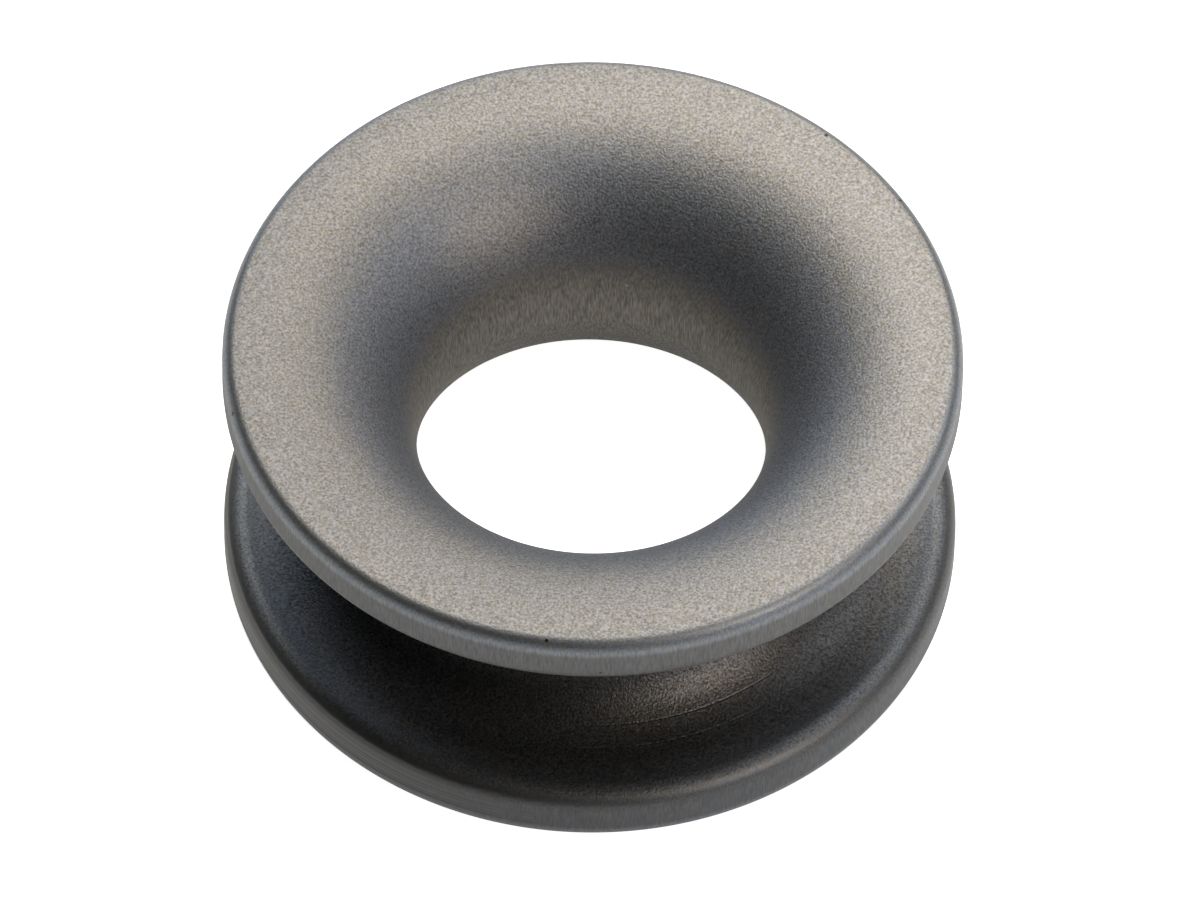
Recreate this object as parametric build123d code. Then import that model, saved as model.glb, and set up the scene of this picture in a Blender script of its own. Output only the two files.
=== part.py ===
from build123d import *

import math
import os

# A low-friction ring for rope: one turned piece of aluminium with a bell-mouthed
# throat that a line runs through, and a round groove outside that a strop sits in.
# The origin is the centre of the throat at mid-height, and +Z is the ring's axis.

# Driving dimensions, in millimetres
bore_diameter = 20.0
throat_land = 0.2
bell_radius = 9.2
face_width = 1.1
edge_width = 0.8
edge_height = 1.1
rim_land = 1.3
groove_edge_radius = 1.2
waist_wall = 2.8

# Radii and heights that add up from them
bore_radius = bore_diameter / 2
mouth_radius = bore_radius + bell_radius
face_radius = mouth_radius + face_width
outer_radius = face_radius + edge_width
half_height = throat_land / 2 + bell_radius
rim_top = half_height - edge_height
rim_foot = rim_top - rim_land

# The groove is one arc about mid-height, tangent to the rounded edge of both flanges.
# Its floor is the waist wall outside the throat, and its centre lies as far from the
# centre of either edge as their two radii add up to.
floor_radius = bore_radius + waist_wall
edge_centre_radius = outer_radius - groove_edge_radius
reach = edge_centre_radius - floor_radius
groove_radius = (reach**2 + rim_foot**2 - groove_edge_radius**2) / (2 * (reach + groove_edge_radius))
groove_centre_radius = floor_radius + groove_radius
tangent_angle = math.degrees(math.atan2(rim_foot, edge_centre_radius - groove_centre_radius))


def section_arc(centre, radius, start, end):
    """An arc of the section, its angles in degrees from the outward direction."""
    points = []
    for degrees in (start, (start + end) / 2, end):
        angle = math.radians(degrees)
        points.append((centre[0] + radius * math.cos(angle), centre[1] + radius * math.sin(angle)))
    return ThreePointArc(*points)


def bell_mouth(side):
    """The flare from the throat out to the upper face (side 1) or the lower face (-1)."""
    section_arc((mouth_radius, side * throat_land / 2), bell_radius, 180, 180 - side * 90)


def flange_rim(side):
    """The flat face, its elliptical edge, the straight rim and the edge into the groove."""
    Line((mouth_radius, side * half_height), (face_radius, side * half_height))
    edge_centre = (face_radius, side * rim_top)
    EllipticalCenterArc(edge_centre, edge_width, edge_height, side * 90, arc_size=-side * 90)
    Line((outer_radius, side * rim_top), (outer_radius, side * rim_foot))
    section_arc((edge_centre_radius, side * rim_foot), groove_edge_radius, 0, side * (tangent_angle - 180))


def groove_floor():
    """The round floor of the groove, from one flange to the other."""
    section_arc((groove_centre_radius, 0), groove_radius, tangent_angle, 360 - tangent_angle)


def ring_section():
    """The cross-section on one side of the axis: throat, both flanges and the groove."""
    with BuildSketch(Plane.XZ) as section:
        with BuildLine():
            Line((bore_radius, -throat_land / 2), (bore_radius, throat_land / 2))
            for side in (1, -1):
                bell_mouth(side)
                flange_rim(side)
            groove_floor()
        make_face()
    return section.sketch


def build_ring():
    """The whole ring, turned from its section."""
    return revolve(ring_section(), axis=Axis.Z)


os.makedirs("parts", exist_ok=True)
export_step(build_ring(), "parts/ring.step")
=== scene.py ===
import math

import bpy
from mathutils import Matrix, Vector


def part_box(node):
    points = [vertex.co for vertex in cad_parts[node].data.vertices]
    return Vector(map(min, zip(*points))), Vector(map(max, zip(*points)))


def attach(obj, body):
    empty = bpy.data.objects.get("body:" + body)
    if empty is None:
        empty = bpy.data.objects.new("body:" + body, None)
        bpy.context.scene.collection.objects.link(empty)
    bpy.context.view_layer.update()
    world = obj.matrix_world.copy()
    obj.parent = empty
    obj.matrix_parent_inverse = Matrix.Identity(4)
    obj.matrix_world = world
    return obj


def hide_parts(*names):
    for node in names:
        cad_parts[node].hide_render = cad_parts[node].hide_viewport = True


# A low-friction ring for rope, turned from aluminium, blasted and hard anodised in dark grey.
# Lengths are in metres unless a name or comment says otherwise.

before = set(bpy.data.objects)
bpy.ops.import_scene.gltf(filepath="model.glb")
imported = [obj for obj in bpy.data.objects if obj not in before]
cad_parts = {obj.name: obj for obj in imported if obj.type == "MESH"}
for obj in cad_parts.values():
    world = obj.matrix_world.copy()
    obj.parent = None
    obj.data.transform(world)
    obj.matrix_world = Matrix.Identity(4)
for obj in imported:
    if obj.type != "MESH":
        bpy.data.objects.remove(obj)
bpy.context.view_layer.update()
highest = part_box("ring")[1]

MM = 0.001

# Section of the ring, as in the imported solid
bore_radius = 10.0 * MM
throat_land = 0.2 * MM
bell_radius = 9.2 * MM
face_width = 1.1 * MM
edge_width = 0.8 * MM
edge_height = 1.1 * MM
rim_land = 1.3 * MM
groove_edge_radius = 1.2 * MM
waist_wall = 2.8 * MM
outer_radius = highest.x
half_height = highest.z

mouth_radius = bore_radius + bell_radius
face_radius = mouth_radius + face_width
rim_foot = half_height - edge_height - rim_land
floor_radius = bore_radius + waist_wall
edge_centre = outer_radius - groove_edge_radius
reach = edge_centre - floor_radius
groove_radius = (reach**2 + rim_foot**2 - groove_edge_radius**2) / (2 * (reach + groove_edge_radius))
groove_centre = floor_radius + groove_radius
tangent_angle = math.atan2(rim_foot, edge_centre - groove_centre)

# Points along each arc of the section, steps round the ring, and how near two points are joined
bell_points, edge_points, lip_points, groove_points = 44, 14, 14, 32
ring_steps = 256
weld_distance = 0.002 * MM


def add(tree, kind, settings=None, inputs=None):
    """Adds a node, sets its properties, and sets or links its inputs."""
    node = tree.nodes.new(kind)
    for name, value in (settings or {}).items():
        setattr(node, name, value)
    for key, value in (inputs or {}).items():
        if isinstance(value, bpy.types.NodeSocket):
            tree.links.new(value, node.inputs[key])
        else:
            node.inputs[key].default_value = value
    return node


def linear(colour):
    """An sRGB hex colour as linear RGBA."""
    channels = [int(colour[i:i + 2], 16) / 255 for i in (1, 3, 5)]
    return (*[c / 12.92 if c <= 0.04045 else ((c + 0.055) / 1.055) ** 2.4 for c in channels], 1.0)


# Finish

def hard_anodised_aluminium():
    """Blasted aluminium, hard anodised: a matt dark grey with a fine sparkling grain."""
    finish = bpy.data.materials.new("blasted_hard_anodised_aluminium")
    finish.use_nodes = True
    tree = finish.node_tree
    tree.nodes.clear()
    output = add(tree, "ShaderNodeOutputMaterial")

    # Where a point lies: distance from the axis, height, and height above or below the middle
    place = add(tree, "ShaderNodeTexCoord").outputs["Object"]
    along = add(tree, "ShaderNodeSeparateXYZ", inputs={0: place}).outputs
    across, height = along["X"], along["Z"]
    flat = add(tree, "ShaderNodeVectorMath", {"operation": "MULTIPLY"}, {0: place, 1: (1.0, 1.0, 0.0)})
    radius = add(tree, "ShaderNodeVectorMath", {"operation": "LENGTH"}, {
        0: flat.outputs["Vector"]}).outputs["Value"]
    level = add(tree, "ShaderNodeMath", {"operation": "ABSOLUTE"}, {0: height}).outputs["Value"]
    below = add(tree, "ShaderNodeMath", {"operation": "LESS_THAN"}, {0: height, 1: 0.0}).outputs["Value"]

    # On the lower half, the throat's finish runs this much further out
    lower_flare = 2.0 * MM
    flare = add(tree, "ShaderNodeMath", {"operation": "MULTIPLY_ADD"}, {
        0: below, 1: -lower_flare, 2: radius}).outputs["Value"]

    # Zones of the finish, each of which fades in from its first to its second measure in millimetres
    zones = {}
    for name, measure, start, full in (
            ("rim", radius, 20.3, 20.9),        # outside the flat face
            ("throat", flare, 11.0, 10.1),      # the bore and the foot of each bell
            ("bell", radius, 16.5, 13.0),       # the steep half of each bell
            ("groove", radius, 19.8, 17.6),     # the groove's flanks and floor
            ("lip", radius, 17.8, 19.6),        # the rounded edge into the groove
            ("edge", level, 8.1, 8.6)):         # the elliptical edge of each face
        zones[name] = add(tree, "ShaderNodeMapRange", {"interpolation_type": "SMOOTHSTEP"}, {
            "Value": measure, "From Min": start * MM, "From Max": full * MM}).outputs["Result"]

    # The groove is marked on the mesh, the lip lies between the faces, and the edge is on the rim
    arc = add(tree, "ShaderNodeAttribute", {"attribute_name": "groove"}).outputs["Fac"]
    lip_top = 7.4 * MM
    between = add(tree, "ShaderNodeMath", {"operation": "LESS_THAN"}, {0: level, 1: lip_top}).outputs["Value"]
    for name, mask in (("groove", arc), ("lip", between), ("edge", zones["rim"])):
        zones[name] = add(tree, "ShaderNodeMath", {"operation": "MULTIPLY"}, {
            0: zones[name], 1: mask}).outputs["Value"]

    # Blasted grain, about a quarter of a millimetre from peak to peak
    grain = add(tree, "ShaderNodeTexNoise", {"noise_dimensions": "3D"}, {
        "Vector": place, "Scale": 1 / (0.14 * MM), "Detail": 1.0, "Roughness": 0.5}).outputs["Fac"]

    # Fine short lines along the axis, on the rims and in the throat
    drawn = add(tree, "ShaderNodeVectorMath", {"operation": "MULTIPLY"}, {0: place, 1: (1.0, 1.0, 0.12)})
    streaks = add(tree, "ShaderNodeTexNoise", {"noise_dimensions": "3D"}, {
        "Vector": drawn.outputs["Vector"], "Scale": 1 / (0.095 * MM), "Detail": 1.0}).outputs["Fac"]

    # Two lines that the turning tool left on the groove's lower flank, by radius in millimetres and
    # depth. They fade in and out again across the ring.
    half_line = 0.07 * MM
    scribed = 0.0
    for line_radius, depth in ((16.06, 1.0), (17.33, 0.5)):
        gap = add(tree, "ShaderNodeMath", {"operation": "SUBTRACT"}, {0: radius, 1: line_radius * MM})
        gap = add(tree, "ShaderNodeMath", {"operation": "ABSOLUTE"}, {0: gap.outputs["Value"]})
        line = add(tree, "ShaderNodeMapRange", inputs={
            "Value": gap.outputs["Value"], "From Min": half_line, "From Max": 0.0,
            "To Max": depth}).outputs["Result"]
        scribed = add(tree, "ShaderNodeMath", {"operation": "ADD"}, {0: line, 1: scribed}).outputs["Value"]
    scribed = add(tree, "ShaderNodeMath", {"operation": "MULTIPLY"}, {0: scribed, 1: below}).outputs["Value"]
    for start, full in ((-3.0, 4.0), (12.0, 9.0)):
        shown = add(tree, "ShaderNodeMapRange", inputs={
            "Value": across, "From Min": start * MM, "From Max": full * MM}).outputs["Result"]
        scribed = add(tree, "ShaderNodeMath", {"operation": "MULTIPLY"}, {
            0: scribed, 1: shown}).outputs["Value"]

    # Fine turned lines round the lower rim, which show on its left
    turned = add(tree, "ShaderNodeTexNoise", {"noise_dimensions": "1D"}, {
        "W": height, "Scale": 1 / (0.22 * MM), "Detail": 1.0}).outputs["Fac"]
    turned = add(tree, "ShaderNodeMapRange", inputs={
        "Value": turned, "From Min": 0.3, "From Max": 0.7, "To Min": 0.7, "To Max": 1.3}).outputs["Result"]
    left = add(tree, "ShaderNodeMapRange", inputs={
        "Value": across, "From Min": -1.0 * MM, "From Max": -12.0 * MM}).outputs["Result"]
    left = add(tree, "ShaderNodeMath", {"operation": "MULTIPLY"}, {0: left, 1: below}).outputs["Value"]

    # Relief: the grain's, half as deep on the rims, less the scribed lines
    relief = add(tree, "ShaderNodeMapRange", inputs={
        "Value": zones["rim"], "To Min": 1.0, "To Max": 0.5}).outputs["Result"]
    relief = add(tree, "ShaderNodeMath", {"operation": "MULTIPLY"}, {0: relief, 1: grain}).outputs["Value"]
    relief = add(tree, "ShaderNodeMath", {"operation": "SUBTRACT"}, {0: relief, 1: scribed}).outputs["Value"]
    relief = add(tree, "ShaderNodeBump", inputs={
        "Height": relief, "Strength": 1.0, "Distance": 0.03 * MM})

    # Each zone's grey, matched to the photograph by measure. A later zone covers an earlier.
    # These greys hold painted light and shade besides the finish's own tone: the bell's blue-grey is a painted
    # cool shade, the edge's light grey is a painted highlight, and the groove's dark grey is partly painted
    # shade in the recess. The throat, lip and rim greys also partly hold painted light and shade.
    grey = linear("#828180")
    for name, shade in (("bell", "#7a7e85"), ("throat", "#88857f"), ("lip", "#7e8287"),
                        ("rim", "#7a7c7e"), ("edge", "#989ea5"), ("groove", "#5b5b5c")):
        grey = add(tree, "ShaderNodeMix", {"data_type": "RGBA"}, {
            0: zones[name], 6: grey, 7: linear(shade)}).outputs[2]

    # How far each texture darkens and lightens the grey. Most of the noise lies in this range.
    noise_low, noise_high = 0.25, 0.75
    textures = {}
    for name, noise, swing in (("peaks", grain, 0.5), ("sparkle", grain, 0.75),
                               ("lines", streaks, 0.5), ("faint_lines", streaks, 0.25)):
        textures[name] = add(tree, "ShaderNodeMapRange", inputs={
            "Value": noise, "From Min": noise_low, "From Max": noise_high,
            "To Min": 1 - swing, "To Max": 1 + swing}).outputs["Result"]

    # The grain sparkles more in the groove, and lines take its place in the throat and on the rims
    texture = add(tree, "ShaderNodeMix", {"data_type": "FLOAT"}, {
        0: zones["groove"], 2: textures["peaks"], 3: textures["sparkle"]}).outputs[0]
    texture = add(tree, "ShaderNodeMix", {"data_type": "FLOAT"}, {
        0: zones["throat"], 2: texture, 3: textures["lines"]}).outputs[0]
    rim_lines = add(tree, "ShaderNodeMix", {"data_type": "FLOAT"}, {
        0: left, 2: textures["faint_lines"], 3: turned}).outputs[0]
    texture = add(tree, "ShaderNodeMix", {"data_type": "FLOAT"}, {
        0: zones["rim"], 2: texture, 3: rim_lines}).outputs[0]
    shaded = add(tree, "ShaderNodeMix", {"data_type": "RGBA", "blend_type": "MULTIPLY"}, {
        0: 1.0, 6: grey, 7: texture}).outputs[2]

    # A faint mottle of warm and cool, as factors on the grey
    warm, cool = (1.05, 1.02, 0.94, 1.0), (0.95, 0.98, 1.06, 1.0)
    mottle = add(tree, "ShaderNodeTexNoise", {"noise_dimensions": "3D"}, {
        "Vector": place, "Scale": 1 / (0.28 * MM), "Detail": 1.0}).outputs["Fac"]
    tint = add(tree, "ShaderNodeMapRange", inputs={
        "Value": mottle, "From Min": 0.3, "From Max": 0.7}).outputs["Result"]
    tint = add(tree, "ShaderNodeMix", {"data_type": "RGBA"}, {0: tint, 6: warm, 7: cool}).outputs[2]
    colour = add(tree, "ShaderNodeMix", {"data_type": "RGBA", "blend_type": "MULTIPLY"}, {
        0: 1.0, 6: shaded, 7: tint}).outputs[2]

    # Small marks, each with its azimuth in degrees, radius, height and size in millimetres, and its colour
    for azimuth, out, up, size, shade in (
            (49.8, 20.4, 9.29, 0.15, "#161618"),       # pit beside the edge
            (32.3, 20.63, 9.17, 0.13, "#1c1e24"),      # nick in the edge
            (-166.5, 20.92, 8.87, 0.16, "#6e5236"),    # brown speck on the edge
            (-96.4, 20.69, 9.13, 0.13, "#2a1f18"),     # brown pit in front
            (-87.95, 21.09, 6.88, 0.10, "#2b2c2e"),    # dark speck on the rim
            (-2.4, 10.14, 1.77, 0.10, "#33282a"),      # speck in the throat
            (79.4, 10.18, 2.01, 0.09, "#c4c8d0")):     # bright fleck in the throat
        turn = math.radians(azimuth)
        centre = Vector((out * math.cos(turn), out * math.sin(turn), up)) * MM
        gap = add(tree, "ShaderNodeVectorMath", {"operation": "DISTANCE"}, {0: place, 1: centre})
        mark = add(tree, "ShaderNodeMapRange", {"interpolation_type": "SMOOTHSTEP"}, {
            "Value": gap.outputs["Value"], "From Min": size * MM,
            "From Max": 0.5 * size * MM}).outputs["Result"]
        colour = add(tree, "ShaderNodeMix", {"data_type": "RGBA"}, {
            0: mark, 6: colour, 7: linear(shade)}).outputs[2]

    # Roughness: matt where blasted, a little smoother in the groove and on the rims
    roughness = add(tree, "ShaderNodeMapRange", inputs={
        "Value": zones["groove"], "To Min": 0.61, "To Max": 0.44})
    roughness = add(tree, "ShaderNodeMapRange", inputs={
        "Value": zones["rim"], "To Min": roughness.outputs["Result"], "To Max": 0.49}).outputs["Result"]

    # The anodised layer lies over the metal as a thin coat, which adds a colourless sheen
    surface = add(tree, "ShaderNodeBsdfPrincipled", inputs={
        "Base Color": colour, "Metallic": 1.0, "Roughness": roughness, "Normal": relief.outputs["Normal"],
        "Coat Weight": 0.37, "Coat Roughness": 0.49, "Coat IOR": 1.7})
    tree.links.new(surface.outputs["BSDF"], output.inputs["Surface"])
    return finish


# Shape

def turned_ring_tree():
    """Turns the ring's section about the axis: four arcs of one half, mirrored, joined and swept."""
    tree = bpy.data.node_groups.new("turned_ring", "GeometryNodeTree")
    tree.is_modifier = True
    for name in ("Mouth Radius", "Throat Half", "Bell Radius", "Face Radius", "Edge Width", "Edge Height",
                 "Rim Top", "Rim Foot", "Groove Edge Centre", "Groove Edge Radius", "Groove Centre",
                 "Groove Radius", "Tangent Angle", "Waist Radius"):
        tree.interface.new_socket(name=name, in_out="INPUT", socket_type="NodeSocketFloat")
    tree.interface.new_socket(name="Segments", in_out="INPUT", socket_type="NodeSocketInt")
    tree.interface.new_socket(name="Finish", in_out="INPUT", socket_type="NodeSocketMaterial")
    tree.interface.new_socket(name="Geometry", in_out="OUTPUT", socket_type="NodeSocketGeometry")
    size = add(tree, "NodeGroupInput").outputs

    # Bell, from the throat out to the face
    bell = add(tree, "GeometryNodeCurveArc", {"mode": "RADIUS"}, {
        "Resolution": bell_points, "Radius": size["Bell Radius"],
        "Start Angle": math.pi, "Sweep Angle": -math.pi / 2})
    bell_centre = add(tree, "ShaderNodeCombineXYZ", inputs={
        "X": size["Mouth Radius"], "Y": size["Throat Half"]})
    bell = add(tree, "GeometryNodeTransform", inputs={
        "Geometry": bell.outputs["Curve"], "Translation": bell_centre.outputs["Vector"]})

    # Elliptical edge, from the face down to the rim
    edge = add(tree, "GeometryNodeCurveArc", {"mode": "RADIUS"}, {
        "Resolution": edge_points, "Radius": 1.0, "Start Angle": math.pi / 2, "Sweep Angle": -math.pi / 2})
    edge_at = add(tree, "ShaderNodeCombineXYZ", inputs={"X": size["Face Radius"], "Y": size["Rim Top"]})
    edge_size = add(tree, "ShaderNodeCombineXYZ", inputs={
        "X": size["Edge Width"], "Y": size["Edge Height"], "Z": 1.0})
    edge = add(tree, "GeometryNodeTransform", inputs={
        "Geometry": edge.outputs["Curve"], "Translation": edge_at.outputs["Vector"],
        "Scale": edge_size.outputs["Vector"]})

    # Rounded edge from the rim into the groove, which turns until it meets the groove's arc
    turn = add(tree, "ShaderNodeMath", {"operation": "SUBTRACT"}, {0: size["Tangent Angle"], 1: math.pi})
    lip = add(tree, "GeometryNodeCurveArc", {"mode": "RADIUS"}, {
        "Resolution": lip_points, "Radius": size["Groove Edge Radius"], "Start Angle": 0.0,
        "Sweep Angle": turn.outputs["Value"]})
    lip_at = add(tree, "ShaderNodeCombineXYZ", inputs={
        "X": size["Groove Edge Centre"], "Y": size["Rim Foot"]})
    lip = add(tree, "GeometryNodeTransform", inputs={
        "Geometry": lip.outputs["Curve"], "Translation": lip_at.outputs["Vector"]})

    # Half of the groove's arc, down to its floor at mid-height
    sweep = add(tree, "ShaderNodeMath", {"operation": "SUBTRACT"}, {0: math.pi, 1: size["Tangent Angle"]})
    groove = add(tree, "GeometryNodeCurveArc", {"mode": "RADIUS"}, {
        "Resolution": groove_points, "Radius": size["Groove Radius"],
        "Start Angle": size["Tangent Angle"], "Sweep Angle": sweep.outputs["Value"]})
    groove_at = add(tree, "ShaderNodeCombineXYZ", inputs={"X": size["Groove Centre"]})
    groove = add(tree, "GeometryNodeTransform", inputs={
        "Geometry": groove.outputs["Curve"], "Translation": groove_at.outputs["Vector"]})
    groove = add(tree, "GeometryNodeStoreNamedAttribute", {"data_type": "FLOAT", "domain": "POINT"}, {
        "Geometry": groove.outputs["Geometry"], "Name": "groove", "Value": 1.0})

    # The arcs' points are strung in order into one line, whose straight runs are the face and
    # the rim. Of what is joined, the last linked comes first.
    half = add(tree, "GeometryNodeJoinGeometry")
    for part in (groove, lip, edge, bell):
        tree.links.new(part.outputs["Geometry"], half.inputs["Geometry"])
    half = add(tree, "GeometryNodeCurveToPoints", {"mode": "EVALUATED"}, {
        "Curve": half.outputs["Geometry"]})
    half = add(tree, "GeometryNodePointsToCurves", inputs={"Points": half.outputs["Points"]})

    # The other half is its mirror, and the two close into a loop at the throat and the groove's floor
    mirrored = add(tree, "GeometryNodeTransform", inputs={
        "Geometry": half.outputs["Curves"], "Scale": (1.0, -1.0, 1.0)})
    reversed_half = add(tree, "GeometryNodeReverseCurve", inputs={"Curve": half.outputs["Curves"]})
    section = add(tree, "GeometryNodeJoinGeometry", inputs={"Geometry": mirrored.outputs["Geometry"]})
    tree.links.new(reversed_half.outputs["Curve"], section.inputs["Geometry"])
    section = add(tree, "GeometryNodeCurveToPoints", {"mode": "EVALUATED"}, {
        "Curve": section.outputs["Geometry"]})
    loop = add(tree, "GeometryNodePointsToCurves", inputs={"Points": section.outputs["Points"]})
    loop = add(tree, "GeometryNodeSetSplineCyclic", inputs={
        "Geometry": loop.outputs["Curves"], "Cyclic": True})

    # The loop is swept round a circle through the waist, so it is set off by the circle's radius
    inwards = add(tree, "ShaderNodeMath", {"operation": "MULTIPLY"}, {0: size["Waist Radius"], 1: -1.0})
    offset = add(tree, "ShaderNodeCombineXYZ", inputs={"X": inwards.outputs["Value"]})
    loop = add(tree, "GeometryNodeTransform", inputs={
        "Geometry": loop.outputs["Geometry"], "Translation": offset.outputs["Vector"]})
    path = add(tree, "GeometryNodeCurvePrimitiveCircle", {"mode": "RADIUS"}, {
        "Resolution": size["Segments"], "Radius": size["Waist Radius"]})
    path = add(tree, "GeometryNodeSetCurveNormal", {"mode": "Z_UP"}, {"Curve": path.outputs["Curve"]})
    ring = add(tree, "GeometryNodeCurveToMesh", inputs={
        "Curve": path.outputs["Curve"], "Profile Curve": loop.outputs["Geometry"]})
    ring = add(tree, "GeometryNodeMergeByDistance", inputs={
        "Geometry": ring.outputs["Mesh"], "Distance": weld_distance})
    ring = add(tree, "GeometryNodeSetShadeSmooth", inputs={"Geometry": ring.outputs["Geometry"]})
    ring = add(tree, "GeometryNodeRealizeInstances", inputs={"Geometry": ring.outputs["Geometry"]})
    ring = add(tree, "GeometryNodeSetMaterial", inputs={
        "Geometry": ring.outputs["Geometry"], "Material": size["Finish"]})
    add(tree, "NodeGroupOutput", inputs={"Geometry": ring.outputs["Geometry"]})
    return tree


def turned_ring(finish):
    """The ring as a plain mesh, from its tree with this part's sizes."""
    sizes = {
        "Mouth Radius": mouth_radius, "Throat Half": throat_land / 2, "Bell Radius": bell_radius,
        "Face Radius": face_radius, "Edge Width": edge_width, "Edge Height": edge_height,
        "Rim Top": half_height - edge_height, "Rim Foot": rim_foot, "Groove Edge Centre": edge_centre,
        "Groove Edge Radius": groove_edge_radius, "Groove Centre": groove_centre,
        "Groove Radius": groove_radius, "Tangent Angle": tangent_angle,
        "Waist Radius": (bore_radius + floor_radius) / 2, "Segments": ring_steps, "Finish": finish,
    }
    maker = bpy.data.objects.new("ring_maker", bpy.data.meshes.new("ring_maker"))
    bpy.context.scene.collection.objects.link(maker)
    turning = maker.modifiers.new("turning", "NODES")
    turning.node_group = turned_ring_tree()
    for item in turning.node_group.interface.items_tree:
        if item.in_out == "INPUT":
            turning[item.identifier] = sizes[item.name]
    shape = bpy.data.meshes.new_from_object(maker.evaluated_get(bpy.context.evaluated_depsgraph_get()))
    bpy.data.objects.remove(maker)
    shape.name = "turned_ring"
    ring = bpy.data.objects.new("turned_ring", shape)
    bpy.context.scene.collection.objects.link(ring)
    return ring


# Studio

def stand_lamp(name, lamp, azimuth, elevation, distance, target):
    """Stands a lamp off from a place at an azimuth and elevation in degrees, and faces it there."""
    turn, rise = math.radians(azimuth), math.radians(elevation)
    outwards = Vector((math.cos(rise) * math.cos(turn), math.cos(rise) * math.sin(turn), math.sin(rise)))
    stand = bpy.data.objects.new(name, lamp)
    stand.location = Vector(target) + outwards * distance
    stand.rotation_euler = outwards.to_track_quat("Z", "Y").to_euler()
    bpy.context.scene.collection.objects.link(stand)


def softbox(name, azimuth, elevation, distance, width, power, colour):
    """A round soft lamp that faces the ring's centre."""
    lamp = bpy.data.lights.new(name, "AREA")
    lamp.shape = "DISK"
    lamp.size = width
    lamp.energy = power
    lamp.color = linear(colour)[:3]
    stand_lamp(name, lamp, azimuth, elevation, distance, (0.0, 0.0, 0.0))


def glint(azimuth, elevation, distance, target, beam, power, colour):
    """A snooted lamp, whose narrow soft-edged beam, in degrees, meets the ring at one place."""
    lamp = bpy.data.lights.new("glint", "SPOT")
    lamp.spot_size = math.radians(beam)
    lamp.spot_blend = 1.0
    lamp.shadow_soft_size = 1.0 * MM
    lamp.energy = power
    lamp.color = linear(colour)[:3]
    stand_lamp("glint", lamp, azimuth, elevation, distance, target)


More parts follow.
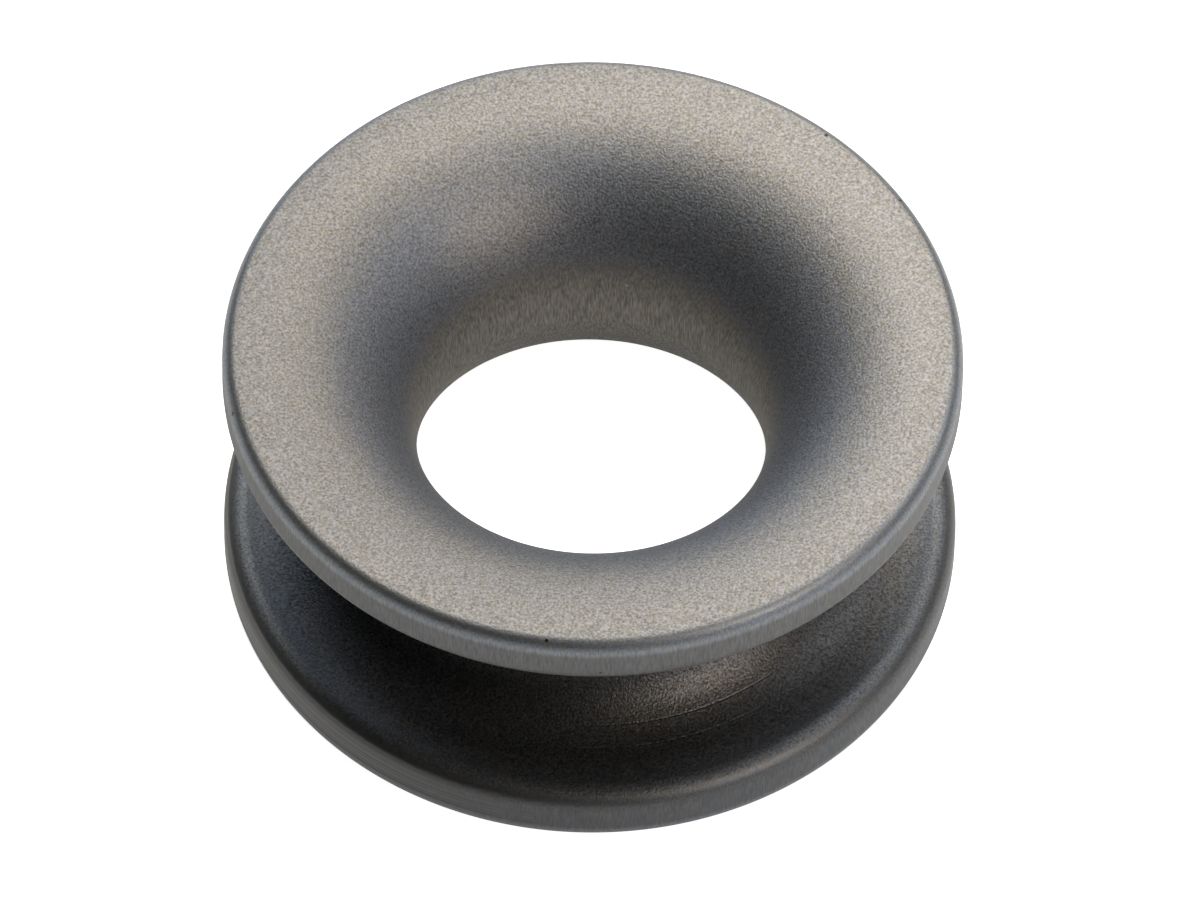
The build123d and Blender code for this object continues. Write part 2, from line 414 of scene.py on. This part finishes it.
def white_floor():
    """White paper under the ring: it takes the lamps' light and the ring's shadow, and glows besides. Its glow
    and colour hold painted shade in a band round the ring.
    """
    camera_white = 0.96
    shade_start, shade_end = 26.0 * MM, 34.0 * MM
    hole_edge = 10.5 * MM
    side = 30.0 * MM
    half_sheet = 3.0

    finish = bpy.data.materials.new("white_backdrop_paper")
    finish.use_nodes = True
    tree = finish.node_tree
    tree.nodes.clear()
    output = add(tree, "ShaderNodeOutputMaterial")
    ray = add(tree, "ShaderNodeLightPath").outputs
    seen = add(tree, "ShaderNodeMath", {"operation": "MAXIMUM"}, {
        0: ray["Is Camera Ray"], 1: ray["Is Transmission Ray"]})
    seen = add(tree, "ShaderNodeMath", {"operation": "MULTIPLY"}, {0: seen.outputs["Value"], 1: camera_white})

    # What the metal sees is much dimmer than white. It has a painted shade in a band round the ring, from the
    # band's start to its end, a painted brighter glow under the ring, and a painted brightening to the right.
    place = add(tree, "ShaderNodeTexCoord").outputs["Object"]
    flat = add(tree, "ShaderNodeVectorMath", {"operation": "MULTIPLY"}, {0: place, 1: (1.0, 1.0, 0.0)})
    away = add(tree, "ShaderNodeVectorMath", {"operation": "LENGTH"}, {
        0: flat.outputs["Vector"]}).outputs["Value"]
    outside = add(tree, "ShaderNodeMapRange", {"interpolation_type": "SMOOTHSTEP"}, {
        "Value": away, "From Min": shade_start, "From Max": shade_end}).outputs["Result"]
    inside = add(tree, "ShaderNodeMath", {"operation": "LESS_THAN"}, {
        0: away, 1: shade_start}).outputs["Value"]
    open_paper = add(tree, "ShaderNodeMath", {"operation": "MAXIMUM"}, {
        0: outside, 1: inside}).outputs["Value"]
    strength = add(tree, "ShaderNodeMapRange", inputs={
        "Value": open_paper, "To Min": 0.04, "To Max": 0.17}).outputs["Result"]
    under = add(tree, "ShaderNodeMath", {"operation": "GREATER_THAN"}, {
        0: away, 1: hole_edge}).outputs["Value"]
    under = add(tree, "ShaderNodeMath", {"operation": "MULTIPLY"}, {0: under, 1: inside}).outputs["Value"]
    strength = add(tree, "ShaderNodeMath", {"operation": "MULTIPLY_ADD"}, {
        0: under, 1: 0.08, 2: strength}).outputs["Value"]
    across = add(tree, "ShaderNodeSeparateXYZ", inputs={0: place}).outputs["X"]
    across = add(tree, "ShaderNodeMapRange", inputs={
        "Value": across, "From Min": -side, "From Max": side, "To Min": 0.8, "To Max": 1.2}).outputs["Result"]
    mirrored = add(tree, "ShaderNodeMath", {"operation": "MULTIPLY"}, {0: ray["Is Glossy Ray"], 1: strength})
    mirrored = add(tree, "ShaderNodeMath", {"operation": "MULTIPLY"}, {
        0: mirrored.outputs["Value"], 1: across})
    cast = add(tree, "ShaderNodeMix", {"data_type": "RGBA"}, {
        0: inside, 6: linear("#e9f3ff"), 7: linear("#fafbfc")}).outputs[2]

    # Paper that glows white to the camera and dimly to the metal, and whose colour is darker in the band as
    # painted shade
    seen = add(tree, "ShaderNodeEmission", inputs={
        "Color": linear("#ffffff"), "Strength": seen.outputs["Value"]})
    mirrored = add(tree, "ShaderNodeEmission", inputs={"Color": cast, "Strength": mirrored.outputs["Value"]})
    glow = add(tree, "ShaderNodeAddShader", inputs={
        0: seen.outputs["Emission"], 1: mirrored.outputs["Emission"]})
    white = add(tree, "ShaderNodeMix", {"data_type": "RGBA"}, {
        0: open_paper, 6: linear("#8c8c8c"), 7: linear("#e7e7e7")}).outputs[2]
    paper = add(tree, "ShaderNodeBsdfDiffuse", inputs={"Color": white})
    both = add(tree, "ShaderNodeAddShader", inputs={0: paper.outputs["BSDF"], 1: glow.outputs["Shader"]})
    tree.links.new(both.outputs["Shader"], output.inputs["Surface"])

    sheet = bpy.data.meshes.new("backdrop")
    corners = [(x * half_sheet, y * half_sheet, -half_height) for x, y in ((-1, -1), (1, -1), (1, 1), (-1, 1))]
    sheet.from_pydata(corners, [], [(0, 1, 2, 3)])
    sheet.materials.append(finish)
    floor = bpy.data.objects.new("backdrop", sheet)
    bpy.context.scene.collection.objects.link(floor)


def white_surround():
    """White to the camera, and dark to the metal, which shows the lamps and the floor alone."""
    world = bpy.data.worlds.new("studio")
    world.use_nodes = True
    bpy.context.scene.world = world
    tree = world.node_tree
    tree.nodes.clear()
    ray = add(tree, "ShaderNodeLightPath").outputs
    seen = add(tree, "ShaderNodeMath", {"operation": "MAXIMUM"}, {
        0: ray["Is Camera Ray"], 1: ray["Is Transmission Ray"]})
    light = add(tree, "ShaderNodeBackground", inputs={
        "Color": linear("#ffffff"), "Strength": seen.outputs["Value"]})
    add(tree, "ShaderNodeOutputWorld", inputs={"Surface": light.outputs["Background"]})


def camera():
    """A long lens that looks down on the ring from the front, as in the photograph."""
    image_width, image_height = 1200, 900
    centre_x, centre_y = 591.20, 445.02
    pixels_per_radius = 368.09
    distance = 42.89 * outer_radius
    looking_down = math.radians(53.24)
    roll = math.radians(1.06)
    lens = bpy.data.cameras.new("camera")
    lens.sensor_width = 36.0
    lens.lens = pixels_per_radius * distance / outer_radius / image_width * lens.sensor_width
    lens.shift_x = (image_width / 2 - centre_x) / image_width
    lens.shift_y = (centre_y - image_height / 2) / image_width
    lens.clip_start, lens.clip_end = 0.05, 10.0
    eye = bpy.data.objects.new("camera", lens)
    back = Vector((0.0, -math.cos(looking_down), math.sin(looking_down)))
    turn = (-back).to_track_quat("-Z", "Y").to_matrix().to_4x4() @ Matrix.Rotation(roll, 4, "Z")
    eye.matrix_world = Matrix.Translation(back * distance) @ turn
    bpy.context.scene.collection.objects.link(eye)
    bpy.context.scene.camera = eye


ring = turned_ring(hard_anodised_aluminium())
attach(ring, "root")
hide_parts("ring")

white_floor()
white_surround()

# Lamps, each by azimuth, elevation, distance, width and watts, as fitted to the photograph's light
softbox("key", 115, 73, 0.347, 0.141, 0.6860, "#fff5e4")
softbox("right_back", 69, 43, 0.102, 0.055, 0.0380, "#fff5e5")
softbox("top", 1, 79, 0.170, 0.046, 0.0315, "#d8e9ff")
softbox("back", 106, 30, 0.267, 0.170, 0.1664, "#e4f0ff")
softbox("front_right", -42, 30, 0.274, 0.124, 0.0600, "#a4c8ff")
softbox("right", 9, 46, 0.060, 0.030, 0.0065, "#fdfdff")
softbox("front_spot", -41, 35, 0.250, 0.070, 0.1250, "#ffe6bf")

# The soft bright patch on the far left of the bell
bell_patch = (-6.0 * MM, 11.3 * MM, 6.6 * MM)
glint(-43, 33, 0.25, bell_patch, 2.5, 0.42, "#ffdcae")
camera()

scene = bpy.context.scene
scene.view_settings.view_transform = "Standard"
